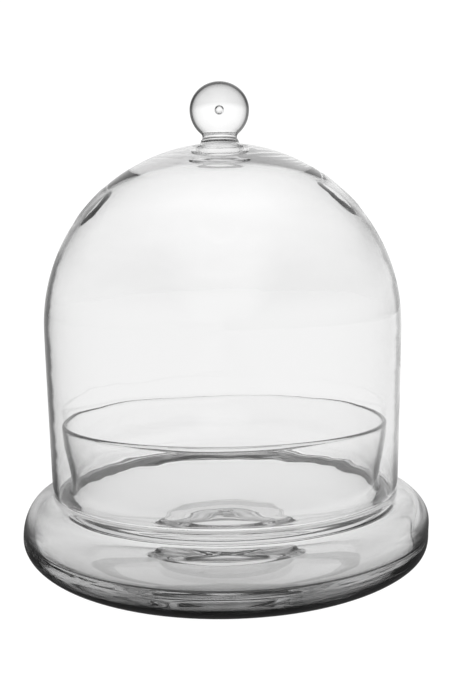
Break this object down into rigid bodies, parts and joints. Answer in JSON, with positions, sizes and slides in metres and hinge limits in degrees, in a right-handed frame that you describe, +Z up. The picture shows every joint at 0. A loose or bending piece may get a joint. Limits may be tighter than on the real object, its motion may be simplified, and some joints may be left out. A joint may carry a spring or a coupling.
{
  "type": "bell jar dome",
  "caption": "Clear glass bell jar: a domed bell with a ball knob and side vents lifts off a hollow bulging bowl with a raised floor and an upright collar.",
  "frame": {"origin": "centre of the foot ring, on the surface the base stands on", "axes": "+Z up along the axis of the bell and bowl; the two vents are on the +X and -X sides"},
  "size_m": [0.2344, 0.2344, 0.2781],
  "materials": {
    "base_glass": "clear blown glass, fire-polished, faintly grey where it is thick",
    "bell_glass": "clear thin blown glass, fire-polished rim and vents",
    "knob_glass": "clear solid glass; a small air bubble is trapped at the ball's middle"
  },
  "bodies": {
    "base": {"base_bowl": "base_glass"},
    "bell": {"bell_shell": "bell_glass", "crown_pad": "knob_glass", "ball_knob": "knob_glass"}
  },
  "joints": [
    {"name": "bell_lift", "type": "slide", "parent": "base", "child": "bell", "axis": [0, 0, 1], "range_m": [0, 0.15]}
  ]
}
